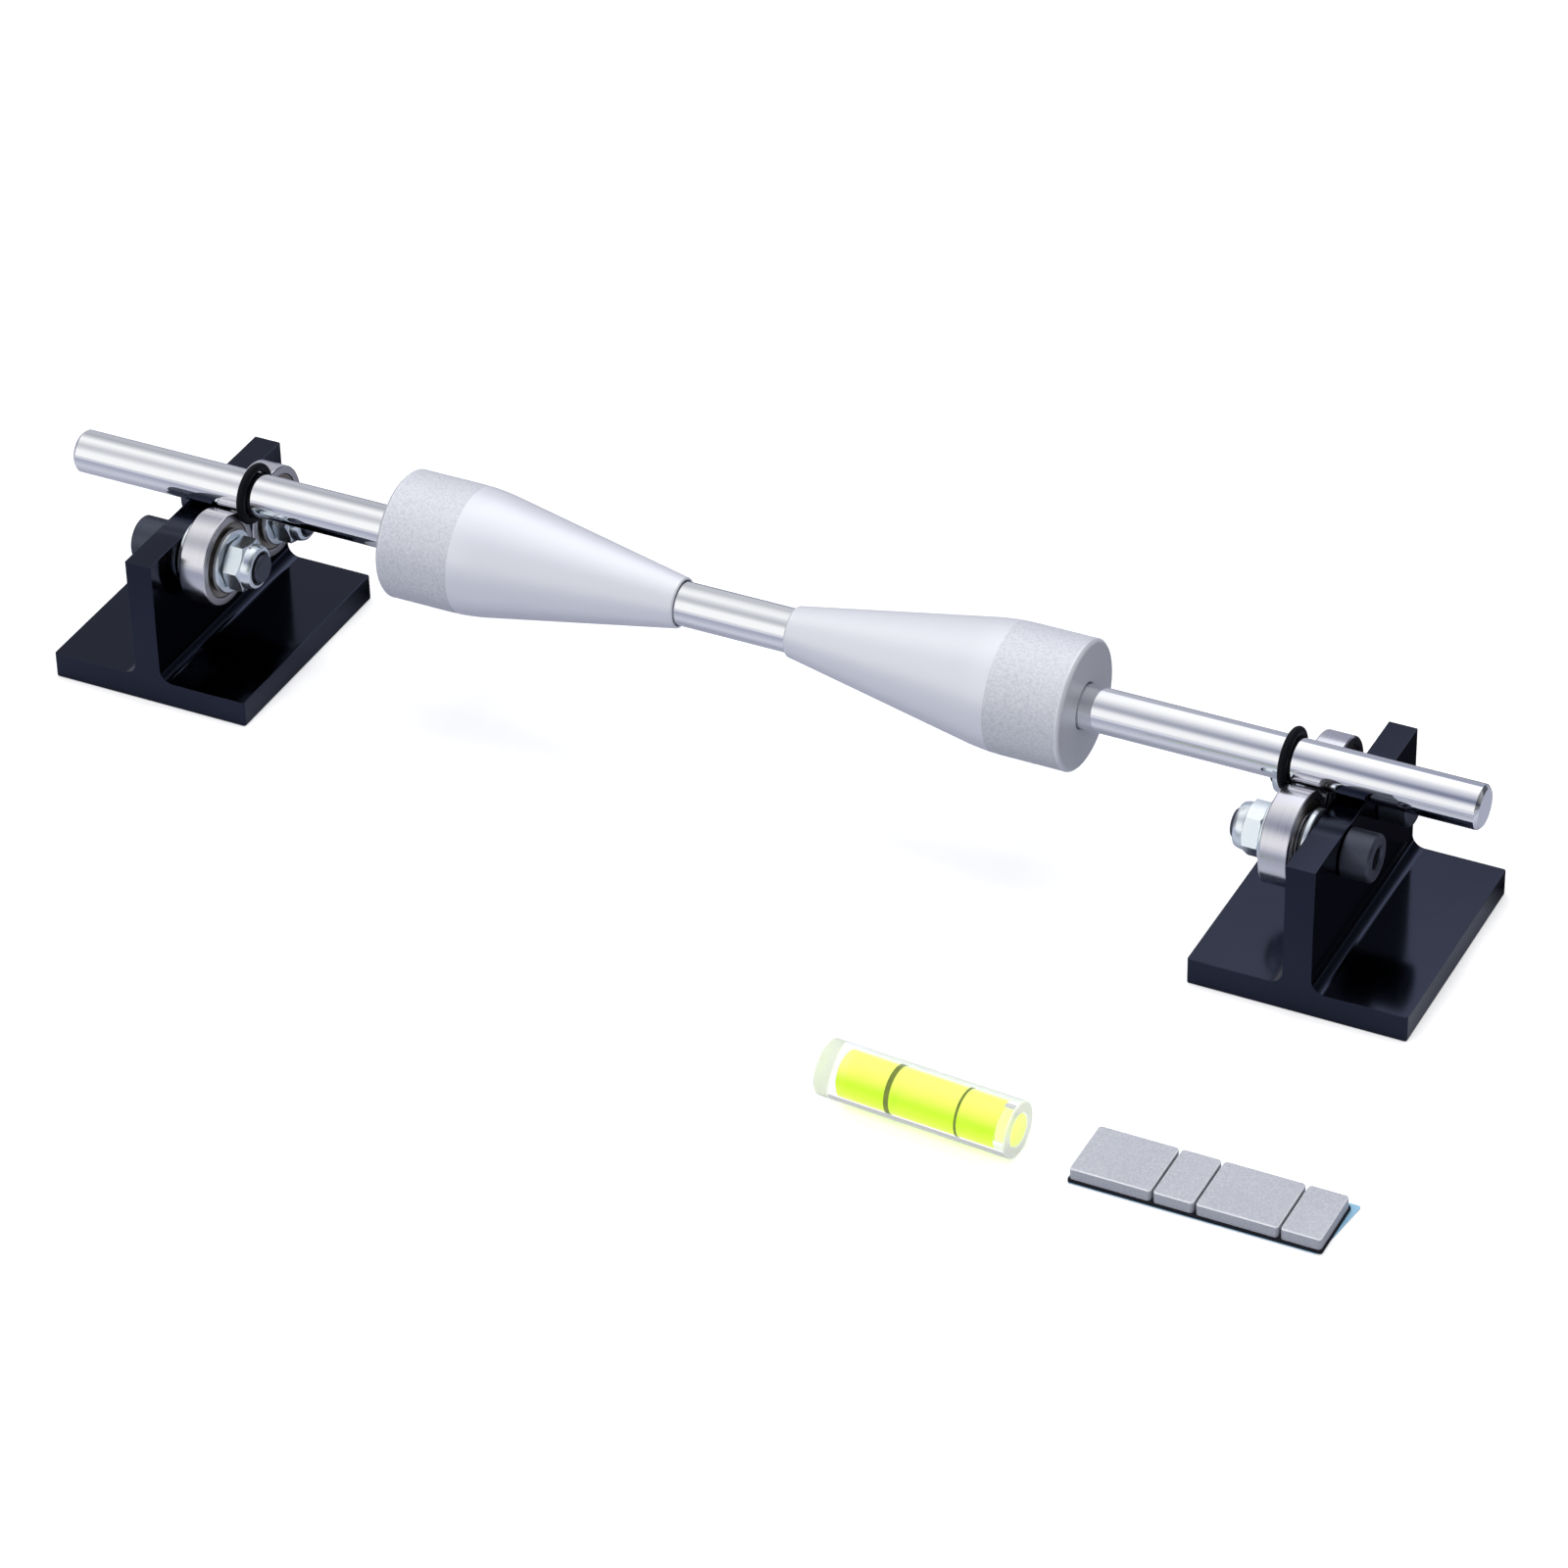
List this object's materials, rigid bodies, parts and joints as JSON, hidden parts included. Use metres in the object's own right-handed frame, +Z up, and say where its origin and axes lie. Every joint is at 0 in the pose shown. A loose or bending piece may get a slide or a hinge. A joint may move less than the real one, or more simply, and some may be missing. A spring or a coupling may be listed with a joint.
{
  "type": "motorcycle wheel balancer",
  "caption": "Bench wheel balancer: a loose shaft with clamping cones lies on ball bearings on T-shaped stands; with a bubble vial and a strip of stick-on weights.",
  "frame": {"origin": "middle of the underside of the left stand's base, on the bench", "axes": "+X along the shaft towards the right stand, -Y towards the front where the vial and weights lie, +Z up"},
  "size_m": [0.419, 0.159, 0.0688],
  "materials": {
    "black_anodised": "satin",
    "black_oxide": "satin",
    "black_nylon": "satin",
    "bright_zinc": "gloss",
    "bearing_steel": "gloss",
    "shield_steel": "satin",
    "chrome": "polished",
    "rubber": "matte",
    "satin_silver": "satin",
    "clear_acrylic": "gloss",
    "green_liquid": "gloss",
    "air": "gloss",
    "weight_steel": "satin",
    "foam": "matte",
    "blue_film": "satin"
  },
  "bodies": {
    "left_stand": {"left_bracket": "black_anodised", "left_front_cap_screw": "black_oxide", "left_front_flanged_bush": "bright_zinc", "left_front_inner_ring": "bearing_steel", "left_front_washer": "bright_zinc", "left_front_lock_nut": "bright_zinc", "left_front_nylon_insert": "black_nylon", "left_rear_cap_screw": "black_oxide", "left_rear_flanged_bush": "bright_zinc", "left_rear_inner_ring": "bearing_steel", "left_rear_washer": "bright_zinc", "left_rear_lock_nut": "bright_zinc", "left_rear_nylon_insert": "black_nylon"},
    "right_stand": {"right_bracket": "black_anodised", "right_front_cap_screw": "black_oxide", "right_front_flanged_bush": "bright_zinc", "right_front_inner_ring": "bearing_steel", "right_front_washer": "bright_zinc", "right_front_lock_nut": "bright_zinc", "right_front_nylon_insert": "black_nylon", "right_rear_cap_screw": "black_oxide", "right_rear_flanged_bush": "bright_zinc", "right_rear_inner_ring": "bearing_steel", "right_rear_washer": "bright_zinc", "right_rear_lock_nut": "bright_zinc", "right_rear_nylon_insert": "black_nylon"},
    "left_front_bearing": {"left_front_outer_ring": "bearing_steel", "left_front_outboard_shield": "shield_steel", "left_front_inboard_shield": "shield_steel"},
    "left_rear_bearing": {"left_rear_outer_ring": "bearing_steel", "left_rear_outboard_shield": "shield_steel", "left_rear_inboard_shield": "shield_steel"},
    "right_front_bearing": {"right_front_outer_ring": "bearing_steel", "right_front_outboard_shield": "shield_steel", "right_front_inboard_shield": "shield_steel"},
    "right_rear_bearing": {"right_rear_outer_ring": "bearing_steel", "right_rear_outboard_shield": "shield_steel", "right_rear_inboard_shield": "shield_steel"},
    "left_front_balls": {"left_front_ball_cage": "bearing_steel"},
    "left_rear_balls": {"left_rear_ball_cage": "bearing_steel"},
    "right_front_balls": {"right_front_ball_cage": "bearing_steel"},
    "right_rear_balls": {"right_rear_ball_cage": "bearing_steel"},
    "shaft": {"shaft": "chrome"},
    "left_ring": {"left_rubber_ring": "rubber"},
    "right_ring": {"right_rubber_ring": "rubber"},
    "left_cone": {"left_cone": "satin_silver"},
    "right_cone": {"right_cone": "satin_silver"},
    "left_grub_screw": {"left_cone_grub_screw": "black_oxide"},
    "right_grub_screw": {"right_cone_grub_screw": "black_oxide"},
    "vial": {"vial_tube": "clear_acrylic", "vial_plug": "clear_acrylic", "vial_liquid": "green_liquid"},
    "vial_bubble": {"vial_bubble": "air"},
    "weight_strip": {"backing_film": "blue_film", "foam_tape": "foam", "weight_1": "weight_steel", "weight_2": "weight_steel", "weight_3": "weight_steel", "weight_4": "weight_steel"}
  },
  "joints": [
    {"name": "right_stand_slide", "type": "slide", "parent": "left_stand", "child": "right_stand", "axis": [1, 0, 0], "range_m": [0, 0.03]},
    {"name": "shaft_spin", "type": "hinge", "parent": "left_stand", "child": "shaft", "pos_m": [0.1672, 0, 0.05109], "axis": [1, 0, 0], "continuous": true},
    {"name": "left_front_bearing_spin", "type": "hinge", "parent": "left_stand", "child": "left_front_bearing", "pos_m": [0.011, -0.0133, 0.0371], "axis": [1, 0, 0], "continuous": true},
    {"name": "left_rear_bearing_spin", "type": "hinge", "parent": "left_stand", "child": "left_rear_bearing", "pos_m": [0.011, 0.0133, 0.0371], "axis": [1, 0, 0], "continuous": true},
    {"name": "right_front_bearing_spin", "type": "hinge", "parent": "right_stand", "child": "right_front_bearing", "pos_m": [0.3258, -0.0133, 0.0371], "axis": [1, 0, 0], "continuous": true},
    {"name": "right_rear_bearing_spin", "type": "hinge", "parent": "right_stand", "child": "right_rear_bearing", "pos_m": [0.3258, 0.0133, 0.0371], "axis": [1, 0, 0], "continuous": true},
    {"name": "left_front_ball_spin", "type": "hinge", "parent": "left_stand", "child": "left_front_balls", "pos_m": [0.011, -0.0133, 0.0371], "axis": [1, 0, 0], "continuous": true},
    {"name": "left_rear_ball_spin", "type": "hinge", "parent": "left_stand", "child": "left_rear_balls", "pos_m": [0.011, 0.0133, 0.0371], "axis": [1, 0, 0], "continuous": true},
    {"name": "right_front_ball_spin", "type": "hinge", "parent": "right_stand", "child": "right_front_balls", "pos_m": [0.3258, -0.0133, 0.0371], "axis": [1, 0, 0], "continuous": true},
    {"name": "right_rear_ball_spin", "type": "hinge", "parent": "right_stand", "child": "right_rear_balls", "pos_m": [0.3258, 0.0133, 0.0371], "axis": [1, 0, 0], "continuous": true},
    {"name": "left_ring_slide", "type": "slide", "parent": "shaft", "child": "left_ring", "axis": [1, 0, 0], "range_m": [0, 0.01]},
    {"name": "right_ring_slide", "type": "slide", "parent": "shaft", "child": "right_ring", "axis": [1, 0, 0], "range_m": [-0.01, 0]},
    {"name": "left_cone_slide", "type": "slide", "parent": "shaft", "child": "left_cone", "axis": [1, 0, 0], "range_m": [-0.035, 0.015]},
    {"name": "right_cone_slide", "type": "slide", "parent": "shaft", "child": "right_cone", "axis": [1, 0, 0], "range_m": [-0.015, 0.035]},
    {"name": "left_grub_travel", "type": "slide", "parent": "left_cone", "child": "left_grub_screw", "axis": [0, 1, 0], "range_m": [0, 0.001]},
    {"name": "right_grub_travel", "type": "slide", "parent": "right_cone", "child": "right_grub_screw", "axis": [0, 1, 0], "range_m": [0, 0.001]},
    {"name": "vial_lift", "type": "slide", "parent": "left_stand", "child": "vial", "axis": [0, 0, 1], "range_m": [0, 0.08]},
    {"name": "bubble_travel", "type": "slide", "parent": "vial", "child": "vial_bubble", "axis": [0.9979, -0.0645, 0], "range_m": [-0.009, 0.009]},
    {"name": "strip_lift", "type": "slide", "parent": "left_stand", "child": "weight_strip", "axis": [0, 0, 1], "range_m": [0, 0.08]}
  ],
  "couplings": [
    {"joint": "left_front_bearing_spin", "follows": "shaft_spin", "ratio": -0.46154},
    {"joint": "left_rear_bearing_spin", "follows": "shaft_spin", "ratio": -0.46154},
    {"joint": "right_front_bearing_spin", "follows": "shaft_spin", "ratio": -0.46154},
    {"joint": "right_rear_bearing_spin", "follows": "shaft_spin", "ratio": -0.46154},
    {"joint": "left_front_ball_spin", "follows": "shaft_spin", "ratio": -0.2918},
    {"joint": "left_rear_ball_spin", "follows": "shaft_spin", "ratio": -0.2918},
    {"joint": "right_front_ball_spin", "follows": "shaft_spin", "ratio": -0.2918},
    {"joint": "right_rear_ball_spin", "follows": "shaft_spin", "ratio": -0.2918}
  ]
}
